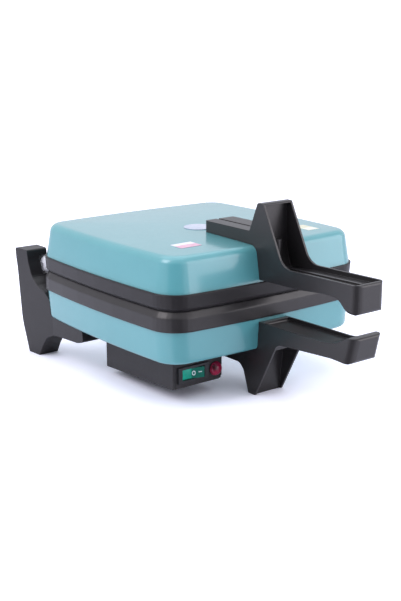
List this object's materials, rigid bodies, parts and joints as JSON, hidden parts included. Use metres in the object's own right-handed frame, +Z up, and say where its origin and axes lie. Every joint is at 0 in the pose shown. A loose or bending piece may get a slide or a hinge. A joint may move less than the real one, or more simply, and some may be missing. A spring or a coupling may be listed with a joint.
{
  "type": "donut maker",
  "caption": "Table-top donut maker: two hinged cast plates with ring cavities in painted covers, with moulded handles, rear brackets and a switch box.",
  "frame": {"origin": "under the middle of the object's box, on the surface that it stands on", "axes": "+Y from the handles to the rear brackets, +Z up, +X to the right seen from the handles"},
  "size_m": [0.23, 0.375, 0.173],
  "materials": {
    "teal_paint": "smooth satin enamel",
    "cast_black": "dark non-stick coated casting, satin",
    "phenolic_black": "moulded phenolic, fine texture",
    "heater_steel": "oxidised steel sheath",
    "zinc_steel": "zinc plated",
    "black_screws": "black zinc",
    "ceramic": "glazed ceramic or moulded insulator",
    "chrome": "bright chrome",
    "black_sheet": "powder coated sheet, fine texture",
    "black_plastic": "moulded nylon",
    "green_clear": "translucent green, glossy",
    "red_clear": "translucent red, glossy",
    "wire_red": "silicone insulation",
    "rubber_black": "moulded rubber",
    "disc_white": "printed foil, blank",
    "sticker_red": "blank foil label, red and white",
    "sticker_yellow": "blank foil label, pale yellow"
  },
  "bodies": {
    "base": {"lower_cover": "teal_paint", "lower_plate": "cast_black", "lower_handle": "phenolic_black", "left_rear_bracket": "phenolic_black", "right_rear_bracket": "phenolic_black", "lower_heater": "heater_steel", "lower_heater_clamps": "zinc_steel", "lower_clamp_screws": "zinc_steel", "lower_cover_screws": "zinc_steel", "lower_handle_screws": "zinc_steel", "bracket_screws": "zinc_steel", "bracket_nuts": "zinc_steel", "hinge_spacers": "zinc_steel", "hinge_nuts": "zinc_steel", "indicator_nut": "zinc_steel", "thermal_fuse": "zinc_steel", "thermostat": "zinc_steel", "box_screws": "black_screws", "lower_heater_bushes": "ceramic", "terminal_block": "ceramic", "indicator_body": "ceramic", "hinge_pins": "chrome", "control_box": "black_sheet", "box_base_plate": "black_sheet", "switch_housing": "black_plastic", "mains_gland": "black_plastic", "indicator_lens": "red_clear", "box_wires": "wire_red", "lower_lead_gland": "rubber_black", "jumper_lead": "rubber_black"},
    "lid": {"upper_lead_gland": "rubber_black", "upper_cover": "teal_paint", "upper_plate": "cast_black", "upper_heater": "heater_steel", "upper_heater_clamps": "zinc_steel", "upper_clamp_screws": "zinc_steel", "upper_heater_bushes": "ceramic", "upper_cover_screws": "zinc_steel", "upper_handle": "phenolic_black", "upper_handle_screws": "zinc_steel", "centre_disc": "disc_white", "front_sticker": "sticker_red", "corner_sticker": "sticker_yellow"},
    "rocker": {"switch_rocker": "green_clear"}
  },
  "joints": [
    {"name": "lid_hinge", "type": "hinge", "parent": "base", "child": "lid", "pos_m": [0, 0.1645, 0.0882], "axis": [-1, 0, 0], "range_deg": [0, 90], "deforming": ["jumper_lead"]},
    {"name": "switch_rocker", "type": "hinge", "parent": "base", "child": "rocker", "pos_m": [-0.066, -0.0388, 0.0245], "axis": [0, 0, 1], "range_deg": [0, 22]}
  ]
}
